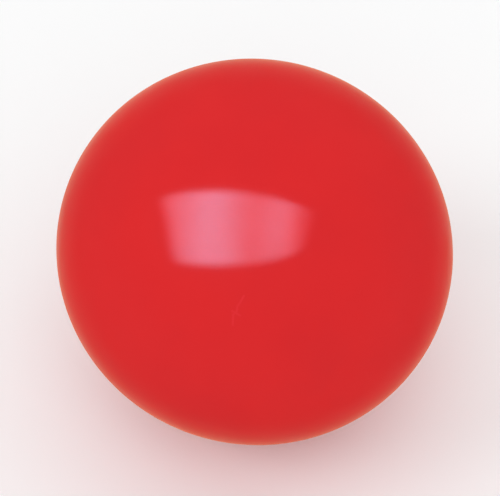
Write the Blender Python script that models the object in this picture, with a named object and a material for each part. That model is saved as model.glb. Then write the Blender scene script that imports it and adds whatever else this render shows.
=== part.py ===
"""Indoor shot put: a soft moulded casing, filled with steel shot and closed by a barbed plug.

Lengths are in metres and +Z is up. The ball stands on Z = 0 and its contact patch is centred
on the origin. Its longest diameter lies along X, and the filler plug faces +Y.
"""

import math

import bmesh
import bpy
from mathutils import Vector

# The settled ball. A soft casing full of loose shot never stays quite round.
LENGTH = 0.128  # longest diameter, along X
BREADTH = 0.124  # diameter along Y, the plug's axis
HEIGHT = 0.1225  # from the floor to the crown
CONTACT_LENGTH = 0.026  # long diameter of the flat that it settles on
WALL = 0.006  # moulded casing

# The filler plug, pushed in from outside until its barb springs open behind the neck.
STEM_DIAMETER = 0.010
STEM_NECKING = 0.0004  # depth of the waist that lets the stem stretch
HEAD_FLANGE = 0.004  # how far the head reaches past the bore on each side
HEAD_THICKNESS = 0.003  # at its rim
HEAD_SINK = 0.0003  # the head lies this far below the casing's surface
HEAD_EDGE = 0.0005  # rounding of the head's rim
BARB_OVERHANG = 0.0012  # how far the barb reaches past the bore on each side
BARB_LENGTH = 0.0065
BARB_EDGE = 0.0008  # thickness of the barb at its widest
NOSE_DIAMETER = 0.006

# The neck that the casing turns inwards to hold the plug.
NECK_LENGTH = 0.010  # from the wall's inner face
NECK_WALL = 0.0025  # left around the bore and around the seat
NECK_LIP = 0.0008  # rounding of the neck's inner end

# The steel shot, drawn as a bed of pellets coarser than the real ones.
PELLET_PITCH = 0.012

FIT_GAP = 0.0003  # left between pieces that touch

BALL_STEPS = 56  # facets round the ball
BALL_RINGS = 28  # facets from its crown to its flat
PLUG_STEPS = 40  # facets round the plug and the neck
ROUNDING_STEPS = 4  # facets in a rounded edge

CASING_RED = (0.70, 0.026, 0.027)
PLUG_RED = (0.62, 0.020, 0.022)
SHOT_GREY = (0.42, 0.42, 0.43)


# The contact patch fixes how deep the outline is cut, and so the full half height.
CUT_SHARE = math.sqrt(1 - (CONTACT_LENGTH / LENGTH) ** 2)
HALF_HEIGHT = HEIGHT / (1 + CUT_SHARE)
CENTRE_Z = HEIGHT - HALF_HEIGHT

# Heights along the plug's axis, measured outwards from the casing's surface.
BORE_RADIUS = STEM_DIAMETER / 2 + FIT_GAP
HEAD_RADIUS = BORE_RADIUS + HEAD_FLANGE
SEAT_RADIUS = HEAD_RADIUS + FIT_GAP
HEAD_CURVE = (LENGTH / 2 + HALF_HEIGHT) ** 2 / (2 * BREADTH)
HEAD_CROWN = HEAD_CURVE - math.sqrt(HEAD_CURVE**2 - HEAD_RADIUS**2)
HEAD_BOTTOM = -HEAD_SINK - HEAD_CROWN - HEAD_THICKNESS
SEAT_LEVEL = HEAD_BOTTOM - FIT_GAP
NECK_ROOT = min(-WALL, SEAT_LEVEL - NECK_WALL)
NECK_END = NECK_ROOT - NECK_LENGTH
BARB_RADIUS = BORE_RADIUS + BARB_OVERHANG
BARB_TOP = NECK_END - FIT_GAP
PLUG_TIP = BARB_TOP - BARB_LENGTH


def clear_scene():
    for old in list(bpy.data.objects):
        bpy.data.objects.remove(old)


def finish(name, colour, roughness, metallic):
    """A material with one colour, roughness and metallic value."""
    material = bpy.data.materials.new(name)
    material.use_nodes = True
    shader = material.node_tree.nodes["Principled BSDF"]
    shader.inputs["Base Color"].default_value = (*colour, 1)
    shader.inputs["Roughness"].default_value = roughness
    shader.inputs["Metallic"].default_value = metallic
    return material


def new_object(name, bm):
    """Close the mesh's faces outwards and put it in the scene under the assembly's empty."""
    bmesh.ops.recalc_face_normals(bm, faces=bm.faces)
    mesh = bpy.data.meshes.new(name)
    bm.to_mesh(mesh)
    bm.free()
    made = bpy.data.objects.new(name, mesh)
    bpy.context.scene.collection.objects.link(made)
    made.parent = assembly
    return made


def turned(name, profile, steps, breadth=1.0):
    """Turn a profile of (radius, height) pairs about Z, then draw it out along Y."""
    bm = bmesh.new()
    line = [bm.verts.new((radius, 0, height)) for radius, height in profile]
    for upper, lower in zip(line, line[1:]):
        bm.edges.new((upper, lower))
    bmesh.ops.spin(
        bm,
        geom=bm.verts[:] + bm.edges[:],
        cent=(0, 0, 0),
        axis=(0, 0, 1),
        angle=2 * math.pi,
        steps=steps,
        use_merge=True,
    )
    bmesh.ops.remove_doubles(bm, verts=bm.verts, dist=1e-6)
    bmesh.ops.scale(bm, vec=(1, breadth, 1), verts=bm.verts)
    return new_object(name, bm)


def on_plug_axis(made):
    """Stand a turned piece on the casing's surface, with its Z along the plug's axis."""
    made.location = (0, BREADTH / 2, CENTRE_Z)
    made.rotation_euler = (-math.pi / 2, 0, 0)
    return made


def rounding(centre, radius, start, end):
    """Points of an arc about a (radius, height) centre, between two angles in degrees."""
    points = []
    for step in range(ROUNDING_STEPS + 1):
        angle = math.radians(start + (end - start) * step / ROUNDING_STEPS)
        points.append((centre[0] + radius * math.cos(angle), centre[1] + radius * math.sin(angle)))
    return points


def ball(name, inset):
    """The settled ball, drawn in by an inset on every side, its flat included."""
    half_length = LENGTH / 2 - inset
    half_breadth = BREADTH / 2 - inset
    half_height = HALF_HEIGHT - inset
    lowest = math.acos((inset - CENTRE_Z) / half_height)
    profile = []
    for ring in range(BALL_RINGS + 1):
        polar = lowest * ring / BALL_RINGS
        profile.append((half_length * math.sin(polar), CENTRE_Z + half_height * math.cos(polar)))
    profile.append((0, inset))
    return turned(name, profile, BALL_STEPS, half_breadth / half_length)


def cutter(made):
    made.hide_render = True
    made.display_type = "WIRE"
    return made


def cut(made, tool):
    """Take a tool's volume out of an object."""
    boolean = made.modifiers.new(f"less_{tool.name}", "BOOLEAN")
    boolean.operation = "DIFFERENCE"
    boolean.solver = "EXACT"
    boolean.object = tool


def settle(made, material, sharp_degrees):
    """Turn the cuts into mesh, shade it smooth up to an angle and give it its material."""
    bpy.context.view_layer.update()
    graph = bpy.context.evaluated_depsgraph_get()
    mesh = bpy.data.meshes.new_from_object(made.evaluated_get(graph))
    made.modifiers.clear()
    uncut = made.data
    made.data = mesh
    bpy.data.meshes.remove(uncut)
    mesh.name = made.name
    mesh.materials.clear()
    mesh.materials.append(material)
    mesh.shade_smooth()
    mesh.set_sharp_from_angle(angle=math.radians(sharp_degrees))


def neck_tool():
    """The neck's outside, from its rounded inner end out past the casing's surface."""
    end = BORE_RADIUS + NECK_WALL
    root = SEAT_RADIUS + NECK_WALL
    profile = [(0, HEIGHT / 4), (root, HEIGHT / 4), (root, NECK_ROOT)]
    profile += rounding((end - NECK_LIP, NECK_END + NECK_LIP), NECK_LIP, 0, -90)
    profile.append((0, NECK_END))
    return cutter(on_plug_axis(turned("neck_tool", profile, PLUG_STEPS)))


def pocket_tool():
    """The room that the shot leaves for the neck and for the barb behind it, with a gap all round."""
    end = BORE_RADIUS + NECK_WALL + FIT_GAP
    root = SEAT_RADIUS + NECK_WALL + FIT_GAP
    widest = max(end, BARB_RADIUS + FIT_GAP)
    profile = [
        (0, HEIGHT / 4),
        (root, HEIGHT / 4),
        (root, NECK_ROOT),
        (end, NECK_END),
        (widest, NECK_END - FIT_GAP / 2),
        (widest, BARB_TOP - BARB_EDGE),
        (NOSE_DIAMETER / 2 + FIT_GAP, PLUG_TIP - FIT_GAP),
        (0, PLUG_TIP - FIT_GAP),
    ]
    return cutter(on_plug_axis(turned("pocket_tool", profile, PLUG_STEPS)))


def make_casing():
    """The shell: the ball less its cavity, whose volume leaves the neck standing, and the bore."""
    casing = ball("casing", 0)
    cavity = cutter(ball("cavity_tool", WALL))
    cut(cavity, neck_tool())
    bore = turned(
        "bore_tool",
        [
            (0, HEIGHT / 4),
            (SEAT_RADIUS, HEIGHT / 4),
            (SEAT_RADIUS, SEAT_LEVEL),
            (BORE_RADIUS, SEAT_LEVEL),
            (BORE_RADIUS, NECK_END - NECK_LENGTH),
            (0, NECK_END - NECK_LENGTH),
        ],
        PLUG_STEPS,
    )
    cut(casing, cavity)
    cut(casing, cutter(on_plug_axis(bore)))
    settle(casing, finish("casing_red", CASING_RED, 0.18, 0), 40)
    return casing


def make_plug():
    """The plug: a head crowned to follow the ball, a waisted stem and a barb with a blunt nose."""
    crown = []
    rim = HEAD_RADIUS - HEAD_EDGE
    for step in range(2 * ROUNDING_STEPS + 1):
        radius = rim * step / (2 * ROUNDING_STEPS)
        crown.append((radius, math.sqrt(HEAD_CURVE**2 - radius**2) - HEAD_CURVE - HEAD_SINK))
    stem = STEM_DIAMETER / 2
    middle = (HEAD_BOTTOM + BARB_TOP) / 2
    nose = NOSE_DIAMETER / 2
    profile = crown
    profile += rounding((rim, crown[-1][1] - HEAD_EDGE), HEAD_EDGE, 90, 0)[1:]
    profile += [
        (HEAD_RADIUS, HEAD_BOTTOM),
        (stem, HEAD_BOTTOM),
        (stem - STEM_NECKING, middle),
        (stem, BARB_TOP),
        (BARB_RADIUS, BARB_TOP),
        (BARB_RADIUS, BARB_TOP - BARB_EDGE),
        (nose, PLUG_TIP),
        (0, PLUG_TIP),
    ]
    plug = on_plug_axis(turned("filler_plug", profile, PLUG_STEPS))
    settle(plug, finish("plug_red", PLUG_RED, 0.3, 0), 30)
    return plug


def on_bed(direction, depth):
    """A point under the casing's inner face, at a depth below the pellets' crowns."""
    inset = WALL + FIT_GAP + depth
    around = direction.normalized()
    return Vector(
        (
            around.x * (LENGTH / 2 - inset),
            around.y * (BREADTH / 2 - inset),
            max(CENTRE_Z + around.z * (HALF_HEIGHT - inset), inset),
        )
    )


def make_shot():
    """The packed shot: pellets on a golden spiral, each a dome over its own cell of the bed.

    The hull of the spiral's points gives each pellet its neighbours. A pellet has a crown, a
    shoulder towards each of those corners where three pellets meet, and a hollow in each.
    """
    mean = (LENGTH + BREADTH + HEIGHT) / 6 - WALL
    count = round(4 * math.pi * mean**2 / (PELLET_PITCH**2 * math.sqrt(0.75)))
    spiral = bmesh.new()
    for index in range(count):
        z = 1 - (2 * index + 1) / count
        turn = index * math.pi * (3 - math.sqrt(5))
        across = math.sqrt(1 - z * z)
        spiral.verts.new((across * math.cos(turn), across * math.sin(turn), z))
    bmesh.ops.convex_hull(spiral, input=spiral.verts)

    pellet = PELLET_PITCH / 2
    corner = PELLET_PITCH / math.sqrt(3)
    out = 0.65
    shoulder_depth = pellet - math.sqrt(pellet**2 - (out * corner) ** 2)
    hollow_depth = 1.6 * shoulder_depth

    bed = bmesh.new()
    crowns = {}
    for vert in spiral.verts:
        crowns[vert] = bed.verts.new(on_bed(vert.co, 0))
    hollows = {}
    shoulders = {}
    for face in spiral.faces:
        middle = face.calc_center_median()
        hollows[face] = bed.verts.new(on_bed(middle, hollow_depth))
        for vert in face.verts:
            shoulders[vert, face] = bed.verts.new(on_bed(vert.co.lerp(middle, out), shoulder_depth))
    for edge in spiral.edges:
        left, right = edge.link_faces
        for vert in edge.verts:
            near = shoulders[vert, left]
            far = shoulders[vert, right]
            bed.faces.new((crowns[vert], near, far))
            bed.faces.new((near, hollows[left], hollows[right], far))
    spiral.free()

    shot = new_object("steel_shot", bed)
    cut(shot, pocket_tool())
    settle(shot, finish("shot_steel", SHOT_GREY, 0.35, 1), 50)
    return shot


clear_scene()
assembly = bpy.data.objects.new("indoor_shot", None)
bpy.context.scene.collection.objects.link(assembly)
make_casing()
make_plug()
make_shot()
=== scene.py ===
import math

import bpy
import numpy as np
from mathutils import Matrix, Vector


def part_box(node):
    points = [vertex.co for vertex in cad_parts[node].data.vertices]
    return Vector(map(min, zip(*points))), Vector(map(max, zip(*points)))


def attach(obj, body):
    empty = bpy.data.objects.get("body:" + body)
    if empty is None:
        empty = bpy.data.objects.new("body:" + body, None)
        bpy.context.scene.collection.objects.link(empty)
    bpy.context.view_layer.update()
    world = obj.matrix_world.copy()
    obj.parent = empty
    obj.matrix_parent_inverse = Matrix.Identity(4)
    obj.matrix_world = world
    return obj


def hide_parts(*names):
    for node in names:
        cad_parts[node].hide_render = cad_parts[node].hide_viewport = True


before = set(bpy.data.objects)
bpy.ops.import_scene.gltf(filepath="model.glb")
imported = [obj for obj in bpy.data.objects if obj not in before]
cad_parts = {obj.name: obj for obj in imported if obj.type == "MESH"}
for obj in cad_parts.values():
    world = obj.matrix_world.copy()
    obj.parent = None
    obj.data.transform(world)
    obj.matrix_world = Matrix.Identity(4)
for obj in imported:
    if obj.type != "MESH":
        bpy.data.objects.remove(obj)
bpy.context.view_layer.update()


# CASING
# One seamless shell of soft red PVC, turned in a hot mould until the paste has coated it all
# round, with the filler neck moulded inwards at the back. The weight of the shot presses it a
# little out of round and flattens it where it stands.

# Lengths are in metres. Depths are measured from the ball's surface on the plug's axis (+Y).
casing_low, casing_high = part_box("casing")
plug_low, plug_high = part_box("filler_plug")
HALF_X = casing_high.x
HALF_Y = -casing_low.y
STANDING_HEIGHT = casing_high.z
CONTACT_LENGTH = 0.026  # the long diameter of the flat that it stands on
HALF_Z = STANDING_HEIGHT / (1 + math.sqrt(1 - (CONTACT_LENGTH / (2 * HALF_X)) ** 2))
CENTRE_Z = STANDING_HEIGHT - HALF_Z
WALL = 0.006
FIT_GAP = 0.0003  # between pieces that touch
HEAD_RADIUS = plug_high.x
SEAT_RADIUS = HEAD_RADIUS + FIT_GAP
BORE_RADIUS = 0.0053
SEAT_DEPTH = 0.0043
NECK_WALL = 0.0025
NECK_ROOT_DEPTH = 0.0068
NECK_END_DEPTH = 0.0168
NECK_LIP = 0.0008  # rounding of the inner end
NECK_FILLET = 0.0006  # where the neck leaves the wall
RIM_ROUNDING = 0.0005  # of the seat's outer edge
EDGE_BREAK = 0.0002  # of the inner edges
CONTACT_ROUNDING = 0.0004
ROUND_BY = math.radians(60)  # polar angle where the rings no longer follow the mouth
OUTSIDE_RINGS = 190
OUTSIDE_POLE = math.pi - 0.012  # polar angle of the last ring before the pole
INSIDE_RINGS = 60
INSIDE_POLE = math.pi - 0.03
AROUND_STEPS = 300
ROUNDING_POINTS = 6
RIM_FIRST_TURN = 15  # degrees, one step past the mouth's own ring


def smooth_step(low, high, value):
    """Zero below low and one above high, with a cubic ease between them."""
    share = np.clip((value - low) / (high - low), 0, 1)
    return share * share * (3 - 2 * share)


def ball_wall(polar, around, inset, mouth):
    """One wall of the ball, from a round mouth on the plug's axis (+Y) to the opposite pole.

    A point at a polar angle and an angle around the axis lies on the ellipsoid whose half axes
    are drawn in by the inset. Near the mouth the rings are circles of its radius, and by the
    angle ROUND_BY they have eased into the ellipsoid's own rings. Heights below the inset are
    pressed up to it with a small rounding, which makes the contact flat.
    """
    half_x, half_y, half_z = HALF_X - inset, HALF_Y - inset, HALF_Z - inset
    polar = polar[:, None]
    start = math.asin(mouth / ((half_x + half_z) / 2))
    ring = 1 - smooth_step(start, ROUND_BY, polar)
    reach_x = half_x + (mouth / math.sin(start) - half_x) * ring
    reach_z = half_z + (mouth / math.sin(start) - half_z) * ring
    x = reach_x * np.sin(polar) * np.cos(around)
    z = reach_z * np.sin(polar) * np.sin(around)
    dome = np.sqrt(np.maximum(1 - (x / half_x) ** 2 - (z / half_z) ** 2, 0))
    y = half_y * np.where(polar < ROUND_BY, dome, np.cos(polar) + 0 * around)
    above = z + CENTRE_Z - inset
    z = inset + (above + np.sqrt(above**2 + CONTACT_ROUNDING**2)) / 2
    return np.stack([x, y, z], axis=-1)


def turned(profile, around):
    """Circles about the plug's axis, one for each (radius, Y) pair of a profile.

    The pairs are the last axis. A profile may hold one row of pairs, or one for each step round.
    """
    radius, y = np.broadcast_to(profile, (len(profile), len(around), 2)).transpose(2, 0, 1)
    return np.stack([radius * np.cos(around), y, CENTRE_Z + radius * np.sin(around)], axis=-1)


def quarter_round(centre, radius, first, last):
    """(Radius, Y) pairs on a circle about such a pair, between two angles in degrees."""
    angle = np.radians(np.linspace(first, last, ROUNDING_POINTS))
    return np.array(centre) + radius * np.stack([np.cos(angle), np.sin(angle)], axis=-1)


def closed_skin(name, rows, first_pole, last_pole):
    """A closed mesh from a grid of rings that is drawn to a point at each end.

    Four corners of the grid make a face, the ring's last step joins its first, and a fan of
    triangles closes each end. The faces are turned outwards by the sign of the volume.
    """
    count, steps = rows.shape[:2]
    points = np.concatenate([rows.reshape(-1, 3), [first_pole], [last_pole]])
    index = np.arange(count * steps).reshape(count, steps)
    beside = np.roll(index, -1, axis=1)
    quads = np.stack([index[:-1], index[1:], beside[1:], beside[:-1]], axis=-1).reshape(-1, 4)
    first_fan = np.stack([np.full(steps, count * steps), index[0], beside[0]], axis=-1)
    last_fan = np.stack([np.full(steps, count * steps + 1), beside[-1], index[-1]], axis=-1)
    fans = np.concatenate([first_fan, last_fan])
    halves = np.concatenate([quads[:, [0, 1, 2]], quads[:, [0, 2, 3]], fans])
    corners = points[halves]
    volume = np.einsum("ij,ij->i", corners[:, 0], np.cross(corners[:, 1], corners[:, 2])).sum()
    if volume < 0:
        quads, fans = quads[:, ::-1], fans[:, ::-1]
    mesh = bpy.data.meshes.new(name)
    mesh.vertices.add(len(points))
    mesh.vertices.foreach_set("co", points.astype(np.float32).ravel())
    loops = np.concatenate([quads.ravel(), fans.ravel()])
    sizes = np.concatenate([np.full(len(quads), 4), np.full(len(fans), 3)])
    mesh.loops.add(len(loops))
    mesh.loops.foreach_set("vertex_index", loops.astype(np.int32))
    mesh.polygons.add(len(sizes))
    mesh.polygons.foreach_set("loop_start", (np.cumsum(sizes) - sizes).astype(np.int32))
    mesh.polygons.foreach_set("use_smooth", np.ones(len(sizes), bool))
    mesh.update(calc_edges=True)
    mesh.validate()
    skin = bpy.data.objects.new(name, mesh)
    bpy.context.scene.collection.objects.link(skin)
    return skin


around = np.linspace(0, 2 * np.pi, AROUND_STEPS, endpoint=False)
mouth = SEAT_RADIUS + RIM_ROUNDING
mouth_angle = math.asin(mouth / ((HALF_X + HALF_Z) / 2))
outside = ball_wall(np.linspace(OUTSIDE_POLE, mouth_angle, OUTSIDE_RINGS), around, 0, mouth)
mouth_y = outside[-1, :, 1]
rim_turn = np.radians(np.linspace(RIM_FIRST_TURN, 90, ROUNDING_POINTS))[:, None] + 0 * around
rim = np.stack(
    [mouth - RIM_ROUNDING * np.sin(rim_turn), mouth_y - RIM_ROUNDING * (1 - np.cos(rim_turn))],
    axis=-1,
)
rim_y = mouth_y.mean()
seat_y = HALF_Y - SEAT_DEPTH
end_y = HALF_Y - NECK_END_DEPTH
root_y = HALF_Y - NECK_ROOT_DEPTH
neck_end = BORE_RADIUS + NECK_WALL
neck_root = SEAT_RADIUS + NECK_WALL
neck = [
    (SEAT_RADIUS, rim_y - 3 * RIM_ROUNDING),
    (SEAT_RADIUS, rim_y - 5 * RIM_ROUNDING),
    (SEAT_RADIUS, seat_y + EDGE_BREAK),
    (SEAT_RADIUS, seat_y + EDGE_BREAK / 4),
    (SEAT_RADIUS - EDGE_BREAK, seat_y),
    (BORE_RADIUS + EDGE_BREAK, seat_y),
    (BORE_RADIUS, seat_y - EDGE_BREAK),
    (BORE_RADIUS, end_y + EDGE_BREAK),
    (BORE_RADIUS + EDGE_BREAK, end_y),
    *quarter_round((neck_end - NECK_LIP, end_y + NECK_LIP), NECK_LIP, -90, 0),
    (neck_root - NECK_FILLET / 2, root_y - NECK_FILLET),
]
inner_mouth = neck_root + NECK_FILLET
inner_angle = math.asin(inner_mouth / ((HALF_X + HALF_Z) / 2 - WALL))
inner_polar = np.linspace(inner_angle, INSIDE_POLE, INSIDE_RINGS)
inside = ball_wall(inner_polar, around, WALL, inner_mouth)
closure = [turned(rim, around), turned(np.array(neck)[:, None], around)]
casing = closed_skin(
    "casing_shell",
    np.concatenate([outside, *closure, inside]),
    (0, -HALF_Y, CENTRE_Z),
    (0, -HALF_Y + WALL, CENTRE_Z),
)


class Tone:
    """An output socket of a material's nodes. Arithmetic on it adds Math nodes."""

    def __init__(self, tree, socket=None):
        self.tree = tree
        self.socket = socket

    def node(self, kind, settings=None, sockets=None, output=0):
        """Add a node of a type, apply its settings, then feed its sockets by name or number."""
        made = self.tree.nodes.new(kind)
        for name, value in (settings or {}).items():
            setattr(made, name, value)
        for key, value in (sockets or {}).items():
            if isinstance(value, Tone):
                self.tree.links.new(value.socket, made.inputs[key])
            else:
                made.inputs[key].default_value = value
        return Tone(self.tree, made.outputs[output])

    def maths(self, operation, first, second):
        """A Math node on two numbers or tones."""
        return self.node("ShaderNodeMath", {"operation": operation}, {0: first, 1: second})

    def __add__(self, other):
        return self.maths("ADD", self, other)

    __radd__ = __add__

    def __sub__(self, other):
        return self.maths("SUBTRACT", self, other)

    def __rsub__(self, other):
        return self.maths("SUBTRACT", other, self)

    def __mul__(self, other):
        return self.maths("MULTIPLY", self, other)

    __rmul__ = __mul__

    def __truediv__(self, other):
        return self.maths("DIVIDE", self, other)

    def __rtruediv__(self, other):
        return self.maths("DIVIDE", other, self)

    def ramp(self, low, high):
        """Zero at low and one at high, eased between them. Low may be the larger."""
        settings = {"interpolation_type": "SMOOTHSTEP"}
        sockets = {"Value": self, "From Min": low, "From Max": high}
        return self.node("ShaderNodeMapRange", settings, sockets)

    def mix(self, first, second):
        """The colour between two others at this share."""
        settings = {"data_type": "RGBA"}
        return self.node("ShaderNodeMix", settings, {0: self, 6: first, 7: second}, output=2)


def new_finish(name):
    """A material with an empty Principled shader, and the Tone that adds its nodes."""
    material = bpy.data.materials.new(name)
    material.use_nodes = True
    shader = material.node_tree.nodes["Principled BSDF"]
    return material, shader, Tone(material.node_tree)


def noise(tone, place, size, detail=2.0, rough=0.5):
    """Cloudy noise from 0 to 1, whose clouds are about a size in metres across."""
    sockets = {"Vector": place, "Scale": 1 / size, "Detail": detail, "Roughness": rough}
    return tone.node("ShaderNodeTexNoise", {"noise_dimensions": "3D"}, sockets)


def feed(shader, name, tone):
    """Link a tone to a shader's socket."""
    tone.tree.links.new(tone.socket, shader.inputs[name])


def off_line(tone, place, first, last):
    """How far a point lies from a straight line between two points.

    The point's share along the line is a dot product, held between 0 and 1, and the distance is
    measured from there.
    """
    run = Vector(last) - Vector(first)
    offset = tone.node("ShaderNodeVectorMath", {"operation": "SUBTRACT"}, {0: place, 1: first})
    share = tone.node(
        "ShaderNodeVectorMath",
        {"operation": "DOT_PRODUCT"},
        {0: offset, 1: run / run.length_squared},
        output="Value",
    )
    share = share.maths("MINIMUM", share.maths("MAXIMUM", share, 0.0), 1.0)
    foot = tone.node("ShaderNodeVectorMath", {"operation": "SCALE"}, {0: run, "Scale": share})
    return tone.node(
        "ShaderNodeVectorMath", {"operation": "DISTANCE"}, {0: offset, 1: foot}, output="Value"
    )


def on_front(across, height):
    """The point of the ball's front (-Y) at a distance across it and a height.

    It is the ellipsoid's y, its half axis times sqrt(1 - (x / a)^2 - (z / c)^2).
    """
    rise = (height - CENTRE_Z) / HALF_Z
    return Vector((across, -HALF_Y * math.sqrt(1 - (across / HALF_X) ** 2 - rise**2), height))


CASING_RED = (0.705, 0.0224, 0.025, 1)
CASING_RED_DEEP = (0.675, 0.0214, 0.025, 1)
CASING_RED_SCRATCHED = (0.730, 0.0310, 0.0395, 1)
SHEEN_ORANGE = (1.0, 0.65, 0.30, 1)
PIGMENT_CLOUDS = 0.036
HANDLED_PATCHES = 0.011
PEEL_RIPPLES = 0.0045
PIT_SPACING = 0.00077
# A fine scratch below the highlight and the short nick that crosses it: across and height.
SCRATCH = (
    (0.0150, 0.0990),
    (0.0144, 0.0973),
    (0.0139, 0.0964),
    (0.0141, 0.0952),
    (0.0133, 0.0943),
    (0.0138, 0.0917),
)
NICK = ((0.0128, 0.0952), (0.0152, 0.0943))
SCRATCH_WIDTH = 0.0005
GLOSS_IOR = 1.12  # low, because the skin mirrors weakly

pvc, pvc_shader, pvc_tone = new_finish("soft_red_pvc")
place = pvc_tone.node("ShaderNodeTexCoord", output="Object")
pigment = noise(pvc_tone, place, PIGMENT_CLOUDS, detail=3.0)
handled = noise(pvc_tone, place, HANDLED_PATCHES, detail=4.0, rough=0.6)
peel = noise(pvc_tone, place, PEEL_RIPPLES)
pits = noise(pvc_tone, place, PIT_SPACING, detail=1.0).ramp(0.72, 0.80)
off_mark = off_line(pvc_tone, place, *[on_front(*point) for point in NICK])
for first, last in zip(SCRATCH, SCRATCH[1:]):
    off_stretch = off_line(pvc_tone, place, on_front(*first), on_front(*last))
    off_mark = off_mark.maths("MINIMUM", off_mark, off_stretch)
worn = 0.6 + 0.4 * handled.ramp(0.38, 0.62)
scratch = off_mark.ramp(SCRATCH_WIDTH, SCRATCH_WIDTH / 5) * worn
red = pigment.ramp(0.35, 0.7).mix(CASING_RED, CASING_RED_DEEP)
feed(pvc_shader, "Base Color", scratch.mix(red, CASING_RED_SCRATCHED))
# The plasticiser gives the moulded skin a thin gloss, which is duller at a grazing view and
# where hands and floors have rubbed it. The red under it scatters light softly.
grazing = pvc_tone.node("ShaderNodeLayerWeight", None, {"Blend": 0.5}, output=1)
rubbed = 0.12 * handled.ramp(0.35, 0.75) + 0.25 * scratch + 0.3 * pits
feed(pvc_shader, "Coat Weight", 1 - 0.72 * grazing.ramp(0.22, 0.56) - rubbed)
feed(pvc_shader, "Roughness", 0.45 + rubbed)
relief = {"Strength": 0.02, "Distance": 0.001, "Height": peel - 0.6 * pits - 0.3 * scratch}
feed(pvc_shader, "Normal", pvc_tone.node("ShaderNodeBump", None, relief))
pvc_shader.inputs["Coat Roughness"].default_value = 0.09
pvc_shader.inputs["Coat IOR"].default_value = GLOSS_IOR
pvc_shader.inputs["Specular IOR Level"].default_value = 0.0
pvc_shader.inputs["Sheen Weight"].default_value = 0.45
pvc_shader.inputs["Sheen Roughness"].default_value = 0.25
pvc_shader.inputs["Sheen Tint"].default_value = SHEEN_ORANGE
casing.data.materials.append(pvc)
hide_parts("casing")
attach(casing, "root")


# STEEL SHOT
# Loose round steel shot, poured in through the neck and shaken down until the ball is full.
# It lies against the casing all round and closes over the neck and the plug's barb. Its outer
# pellets are one closed skin.

PELLET_PITCH = 0.0045
HOLLOW_LEVEL = 0.4  # height of the hollows above the pellets' middles, as a share of the radius
GOLDEN_ANGLE = math.pi * (3 - math.sqrt(5))
BED_INSET = WALL + FIT_GAP
BED_RINGS = 200
BED_POLE = math.pi - 0.02
BED_STEPS = 440
# The pocket round the neck and the barb, as pairs of a radius and a place along Y.
POCKET_TOP = (neck_root - 0.0012, root_y - 0.0034)  # beside the neck's taper
POCKET_SIDE = (neck_end + FIT_GAP, end_y)
POCKET_SIDE_END = (neck_end + FIT_GAP, end_y - 0.0011)  # past the barb's widest part
POCKET_FLOOR = (0.0033, plug_low.y - FIT_GAP)  # under the barb's nose


def pellet_hollows(polar, around, first_ring, ring_step):
    """How far the bed lies below its pellets' crowns, as a share of the radius it lies on.

    The pellets lie in rings about the plug's axis, one step of the polar angle apart, and each
    ring is turned by the golden angle from the last. The distance d to the nearest pellet of a
    point's own ring and of the two beside it gives a round pellet's depth r - sqrt(r^2 - d^2),
    down to the level where the next pellets close the hollow.
    """
    polar = polar[:, None]
    own_ring = np.round((polar - first_ring) / ring_step)
    nearest = np.inf
    for beside in (-1, 0, 1):
        ring = np.maximum(own_ring + beside, 0)
        centre = first_ring + ring * ring_step
        spacing = 2 * np.pi / np.maximum(np.round(2 * np.pi * np.sin(centre) / ring_step), 1)
        turn = ring * GOLDEN_ANGLE
        aside = around - turn - np.round((around - turn) / spacing) * spacing
        level = np.cos(polar) * np.cos(centre) + np.sin(polar) * np.sin(centre) * np.cos(aside)
        nearest = np.minimum(nearest, np.maximum(2 - 2 * level, 0))
    radius = ring_step / 2
    return radius - np.sqrt(np.maximum(radius**2 - nearest, (HOLLOW_LEVEL * radius) ** 2))


bed_half = np.array([HALF_X, HALF_Y, HALF_Z]) - BED_INSET
bed_mouth = inner_mouth + 2 * FIT_GAP
bed_start = math.asin(bed_mouth / ((bed_half[0] + bed_half[2]) / 2))
ring_step = PELLET_PITCH / bed_half.mean()
bed_polar = np.linspace(BED_POLE, bed_start, BED_RINGS)
bed_around = np.linspace(0, 2 * np.pi, BED_STEPS, endpoint=False)
bed = ball_wall(bed_polar, bed_around, BED_INSET, bed_mouth)
inward = (np.array([0, 0, CENTRE_Z]) - bed) / bed_half**2
inward /= np.linalg.norm(inward, axis=-1, keepdims=True)
hollows = pellet_hollows(bed_polar, bed_around, bed_start + ring_step / 2, ring_step)
bed = bed + inward * (hollows * bed_half.mean())[..., None]
pocket = np.array([POCKET_TOP, POCKET_SIDE, POCKET_SIDE_END, POCKET_FLOOR])
shot = closed_skin(
    "shot_bed",
    np.concatenate([bed, turned(pocket[:, None], bed_around)]),
    (0, -bed_half[1], CENTRE_Z),
    (0, POCKET_FLOOR[1], CENTRE_Z),
)
SHOT_BRIGHT = (0.52, 0.52, 0.53, 1)
SHOT_DULL = (0.26, 0.25, 0.24, 1)
SCALE_PATCHES = 0.006
steel, steel_shader, steel_tone = new_finish("rolled_steel_shot")
place = steel_tone.node("ShaderNodeTexCoord", output="Object")
mill_scale = noise(steel_tone, place, SCALE_PATCHES, detail=3.0)
feed(steel_shader, "Base Color", mill_scale.ramp(0.4, 0.65).mix(SHOT_BRIGHT, SHOT_DULL))
feed(steel_shader, "Roughness", 0.28 + 0.25 * mill_scale.ramp(0.35, 0.7))
grit = {"Strength": 0.05, "Distance": 0.0005, "Height": mill_scale}
feed(steel_shader, "Normal", steel_tone.node("ShaderNodeBump", None, grit))
steel_shader.inputs["Metallic"].default_value = 1.0
shot.data.materials.append(steel)
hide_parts("steel_shot")
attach(shot, "root")


# FILLER PLUG
# A barbed stopper moulded from the same PVC. It is pushed through the neck until its barb
# springs open behind it, and its crowned head is bonded into the seat just below the surface.

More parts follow.
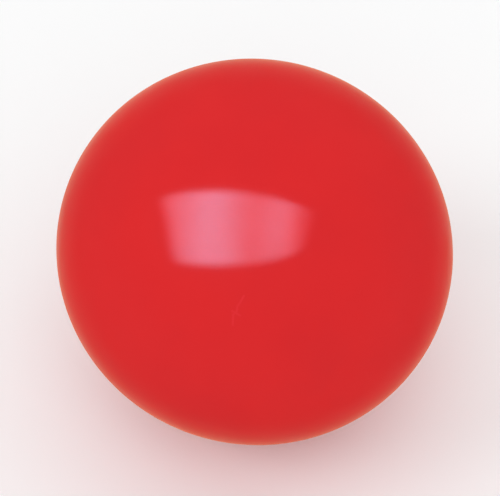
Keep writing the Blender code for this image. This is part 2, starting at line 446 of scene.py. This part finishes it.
HEAD_SINK = 0.0003  # below the ball's surface
HEAD_EDGE = 0.0005  # rounding of the rim
HEAD_BOTTOM = seat_y + FIT_GAP
STEM_RADIUS = 0.005
STEM_WAIST = 0.0046
BARB_RADIUS = 0.0065
BARB_TOP = end_y - FIT_GAP
BARB_EDGE = 0.0008
NOSE_RADIUS = 0.003
PLUG_TIP = plug_low.y
PLUG_EDGE_BREAK = 0.0001
PLUG_STEPS = 120
CROWN_FIRST_RING = 0.0004
CROWN_RINGS = 24
STEM_RINGS = 12

crown_curve = ((HALF_X + HALF_Z) / 2) ** 2 / HALF_Y
crown_radii = np.linspace(CROWN_FIRST_RING, HEAD_RADIUS - HEAD_EDGE, CROWN_RINGS)
crown_y = HALF_Y - HEAD_SINK - crown_curve + np.sqrt(crown_curve**2 - crown_radii**2)
stem_share = np.linspace(0, 1, STEM_RINGS)
stem_radii = STEM_RADIUS - (STEM_RADIUS - STEM_WAIST) * np.sin(np.pi * stem_share)
plug_profile = [
    *zip(crown_radii[:-1], crown_y),
    *quarter_round((crown_radii[-1], crown_y[-1] - HEAD_EDGE), HEAD_EDGE, 90, 0),
    (HEAD_RADIUS, HEAD_BOTTOM + PLUG_EDGE_BREAK),
    (HEAD_RADIUS - PLUG_EDGE_BREAK, HEAD_BOTTOM),
    *zip(stem_radii, HEAD_BOTTOM + (BARB_TOP - HEAD_BOTTOM) * stem_share),
    (BARB_RADIUS - PLUG_EDGE_BREAK, BARB_TOP),
    (BARB_RADIUS, BARB_TOP - PLUG_EDGE_BREAK),
    (BARB_RADIUS, BARB_TOP - BARB_EDGE),
    (NOSE_RADIUS + 2 * PLUG_EDGE_BREAK, PLUG_TIP + 4 * PLUG_EDGE_BREAK),
    (NOSE_RADIUS - 2 * PLUG_EDGE_BREAK, PLUG_TIP),
]
plug_around = np.linspace(0, 2 * np.pi, PLUG_STEPS, endpoint=False)
plug = closed_skin(
    "plug_stopper",
    turned(np.array(plug_profile)[:, None], plug_around),
    (0, HALF_Y - HEAD_SINK, CENTRE_Z),
    (0, PLUG_TIP, CENTRE_Z),
)
PLUG_RED = (0.665, 0.0190, 0.0215, 1)
PLUG_RED_DULL = (0.625, 0.0180, 0.0205, 1)
PLUG_GRAIN = 0.0024
stopper, stopper_shader, stopper_tone = new_finish("moulded_plug_pvc")
place = stopper_tone.node("ShaderNodeTexCoord", output="Object")
grain = noise(stopper_tone, place, PLUG_GRAIN, detail=3.0)
feed(stopper_shader, "Base Color", grain.ramp(0.4, 0.7).mix(PLUG_RED, PLUG_RED_DULL))
feed(stopper_shader, "Roughness", 0.28 + 0.12 * grain)
satin = {"Strength": 0.06, "Distance": 0.0005, "Height": grain}
feed(stopper_shader, "Normal", stopper_tone.node("ShaderNodeBump", None, satin))
feed(stopper_shader, "Coat Weight", 0.85 - 0.3 * grain)
stopper_shader.inputs["Coat Roughness"].default_value = 0.18
stopper_shader.inputs["Coat IOR"].default_value = GLOSS_IOR
stopper_shader.inputs["Specular IOR Level"].default_value = 0.0
plug.data.materials.append(stopper)
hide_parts("filler_plug")
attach(plug, "root")


# CAMERA
# It looks down on the ball from the side away from the plug, turned a little so that the long
# diameter runs from the upper left of the picture to the lower right.

PICTURE_WIDTH = 500
PICTURE_HEIGHT = 496
FOCAL_LENGTH = 110.0  # in millimetres, as the sensor's width is
SENSOR_WIDTH = 36.0
CAMERA_AZIMUTH = math.radians(21.35)
CAMERA_ELEVATION = math.radians(50)
CAMERA_DISTANCE = 0.49466
BALL_RIGHT_OF_MIDDLE = 4.23  # in the picture's pixels
BALL_BELOW_MIDDLE = 3.65

to_camera = Vector(
    (
        math.sin(CAMERA_AZIMUTH) * math.cos(CAMERA_ELEVATION),
        -math.cos(CAMERA_AZIMUTH) * math.cos(CAMERA_ELEVATION),
        math.sin(CAMERA_ELEVATION),
    )
)
picture_right = Vector((math.cos(CAMERA_AZIMUTH), math.sin(CAMERA_AZIMUTH), 0))
picture_up = to_camera.cross(picture_right)


def in_view(right, up, towards):
    """A direction given along the picture's right and up and towards the camera."""
    return picture_right * right + picture_up * up + to_camera * towards


focal_pixels = PICTURE_WIDTH * FOCAL_LENGTH / SENSOR_WIDTH
pixel = CAMERA_DISTANCE / focal_pixels
ball_centre = Vector((0, 0, CENTRE_Z))
aim = ball_centre + in_view(-BALL_RIGHT_OF_MIDDLE * pixel, BALL_BELOW_MIDDLE * pixel, 0)
lens = bpy.data.cameras.new("camera")
lens.lens = FOCAL_LENGTH
lens.sensor_width = SENSOR_WIDTH
camera = bpy.data.objects.new("camera", lens)
bpy.context.scene.collection.objects.link(camera)
camera.location = ball_centre + to_camera * CAMERA_DISTANCE
camera_turn = (camera.location - aim).to_track_quat("Z", "Y")
camera.rotation_euler = camera_turn.to_euler()
bpy.context.scene.camera = camera
bpy.context.scene.view_settings.view_transform = "Standard"


# STUDIO
# A plain pale floor in even light, and one long window panel overhead, which the ball mirrors
# as its highlight. The floor and the backdrop look whiter than the light they give the ball.

FLOOR_HALF = 60.0
FLOOR_PALE = (0.90, 0.893, 0.88, 1)
FLOOR_WHITE = (0.935, 0.955, 0.97, 1)


def in_sight(tone):
    """One for rays from the camera, off gloss or through glass, and zero for all others."""
    camera_ray, glossy_ray, through_ray = [
        tone.node("ShaderNodeLightPath", output=f"Is {ray} Ray")
        for ray in ("Camera", "Glossy", "Transmission")
    ]
    return camera_ray + glossy_ray + through_ray


floor_mesh = bpy.data.meshes.new("floor")
floor_mesh.from_pydata(
    [(x * FLOOR_HALF, y * FLOOR_HALF, 0) for x, y in ((-1, -1), (1, -1), (1, 1), (-1, 1))],
    [],
    [(0, 1, 2, 3)],
)
floor = bpy.data.objects.new("floor", floor_mesh)
bpy.context.scene.collection.objects.link(floor)
pale, pale_shader, pale_tone = new_finish("pale_floor")
feed(pale_shader, "Base Color", in_sight(pale_tone).mix(FLOOR_PALE, FLOOR_WHITE))
pale_shader.inputs["Roughness"].default_value = 0.9
pale_shader.inputs["Specular IOR Level"].default_value = 0.0
floor.data.materials.append(pale)

WORLD_PALE = (0.56, 0.55, 0.535, 1)
BACKDROP_WHITE = (0.975, 0.98, 0.98, 1)
world = bpy.data.worlds.new("studio")
bpy.context.scene.world = world
world.use_nodes = True
world_tone = Tone(world.node_tree)
backdrop = in_sight(world_tone).mix(WORLD_PALE, BACKDROP_WHITE)
feed(world.node_tree.nodes["Background"], "Color", backdrop)


def fill_lamp(name, direction, level, spread):
    """A soft lamp at a level where 1 lights a facing surface to its own colour."""
    lamp = bpy.data.lights.new(name, "SUN")
    lamp.energy = level * math.pi
    lamp.angle = math.radians(spread)
    holder = bpy.data.objects.new(name, lamp)
    bpy.context.scene.collection.objects.link(holder)
    holder.rotation_euler = direction.to_track_quat("Z", "Y").to_euler()
    holder.visible_glossy = False


# Each lamp's direction along the picture's right and up and towards the camera, its level and
# its spread in degrees.
LAMPS = {
    "key": ((-0.75, 0.25, 0.6), 0.17, 30),
    "fill_front": ((0.0, 0.0, 1.0), 0.20, 60),
    "fill_far": ((0.0, 0.95, 0.1), 0.22, 100),
    "fill_right": ((0.8, 0.05, 0.4), 0.15, 90),
}
for name, (direction, level, spread) in LAMPS.items():
    fill_lamp(name, in_view(*direction), level, spread)


def mirrored_by_ball(right, down, reach):
    """The points that the ball mirrors to picture points, each at its reach from the surface.

    A ray from the camera through a picture point meets the ellipsoid at the nearer root of a
    quadratic. It leaves along d - 2 (d . n) n, where d is its direction and n the normal.
    """
    turn = np.array(camera_turn.to_matrix())
    across = (right + 0.5 - PICTURE_WIDTH / 2) / focal_pixels
    upward = (PICTURE_HEIGHT / 2 - down - 0.5) / focal_pixels
    ray = np.stack([across, upward, -np.ones_like(across)], axis=-1) @ turn.T
    ray /= np.linalg.norm(ray, axis=-1, keepdims=True)
    half = np.array([HALF_X, HALF_Y, HALF_Z])
    start = np.array(camera.location - ball_centre)
    square = ((ray / half) ** 2).sum(-1)
    linear = (ray * start / half**2).sum(-1)
    rest = ((start / half) ** 2).sum() - 1
    travel = (-linear - np.sqrt(linear**2 - square * rest)) / square
    surface = start + travel[..., None] * ray
    normal = surface / half**2
    normal /= np.linalg.norm(normal, axis=-1, keepdims=True)
    mirrored = ray - 2 * (ray * normal).sum(-1, keepdims=True) * normal
    return np.array(ball_centre) + surface + reach[..., None] * mirrored


def through_three(first, middle, last, share):
    """The parabola through three values, at shares from 0 to 1."""
    return (
        first * (1 - share) * (1 - 2 * share)
        + middle * 4 * share * (1 - share)
        + last * share * (2 * share - 1)
    )


# Picture points of the panel's left, middle and right, along its top and its bottom edge.
PANEL_TOP = ((152.0, 193.5), (238.0, 186.2), (322.0, 211.5))
PANEL_BOTTOM = ((165.5, 267.0), (248.0, 270.5), (307.0, 251.0))
# How far the panel's left and right ends are from the ball, along its top and its bottom edge.
PANEL_REACH = ((0.64, 1.03), (0.78, 1.15))
PANEL_LIGHT = 60.0
PANEL_COLUMNS, PANEL_ROWS = 33, 17
along, down = np.meshgrid(np.linspace(0, 1, PANEL_COLUMNS), np.linspace(0, 1, PANEL_ROWS))
edge = [
    [through_three(*[point[axis] for point in points], along) for axis in (0, 1)]
    for points in (PANEL_TOP, PANEL_BOTTOM)
]
reach = [left + (right - left) * along for left, right in PANEL_REACH]
panel_points = mirrored_by_ball(
    *[top + (bottom - top) * down for top, bottom in zip(*edge)],
    reach[0] + (reach[1] - reach[0]) * down,
)
corner = np.arange(PANEL_COLUMNS * PANEL_ROWS).reshape(PANEL_ROWS, PANEL_COLUMNS)
panel_faces = np.stack(
    [corner[:-1, :-1], corner[:-1, 1:], corner[1:, 1:], corner[1:, :-1]], axis=-1
)
panel_mesh = bpy.data.meshes.new("window_panel")
panel_mesh.from_pydata(panel_points.reshape(-1, 3), [], panel_faces.reshape(-1, 4).tolist())
panel_shares = np.stack([along, down], axis=-1).reshape(-1, 2)[panel_faces.ravel()]
panel_uv = panel_mesh.uv_layers.new(name="panel")
panel_uv.data.foreach_set("uv", panel_shares.astype(np.float32).ravel())
panel = bpy.data.objects.new("window_panel", panel_mesh)
bpy.context.scene.collection.objects.link(panel)

glow, glow_shader, glow_tone = new_finish("window_glow")
panel_share = glow_tone.node("ShaderNodeUVMap", {"uv_map": "panel"})
sideways = glow_tone.node("ShaderNodeSeparateXYZ", None, {0: panel_share})
downward = glow_tone.node("ShaderNodeSeparateXYZ", None, {0: panel_share}, output=1)


def bell(tone, middle, width):
    """A bell curve of a value about a middle."""
    away = (tone - middle) / width
    return tone.maths("POWER", math.e, -1 * away * away)


PANE_EDGE = (0.66, 0.335, 0.46, 1)
PANE_MIDDLE = (0.61, 0.985, 1.50, 1)
# The middle and the width of each pane along the panel's bottom, as shares of its length.
LEFT_PANE = (0.26, 0.185)
RIGHT_PANE = (0.675, 0.11)
RIGHT_PANE_LIGHT = 0.41
PANE_LEAN = 0.09  # from the panel's bottom to its top
leaning = sideways - PANE_LEAN * (1 - downward)
panes = bell(leaning, *LEFT_PANE) + RIGHT_PANE_LIGHT * bell(leaning, *RIGHT_PANE)
soft_sides = sideways.ramp(0.0, 0.12) * sideways.ramp(1.0, 0.80)
soft_ends = downward.ramp(0.0, 0.14) * downward.ramp(0.985, 0.83)
unlit = tuple(share / PANEL_LIGHT for share in BACKDROP_WHITE)
lit = (soft_sides * soft_ends).mix(unlit, panes.mix(PANE_EDGE, PANE_MIDDLE))
feed(glow_shader, "Emission Color", lit)
glow_shader.inputs["Emission Strength"].default_value = PANEL_LIGHT
glow_shader.inputs["Base Color"].default_value = (0, 0, 0, 1)
glow_shader.inputs["Specular IOR Level"].default_value = 0.0
panel.data.materials.append(glow)
panel.visible_camera = False
panel.visible_diffuse = False
panel.visible_shadow = False
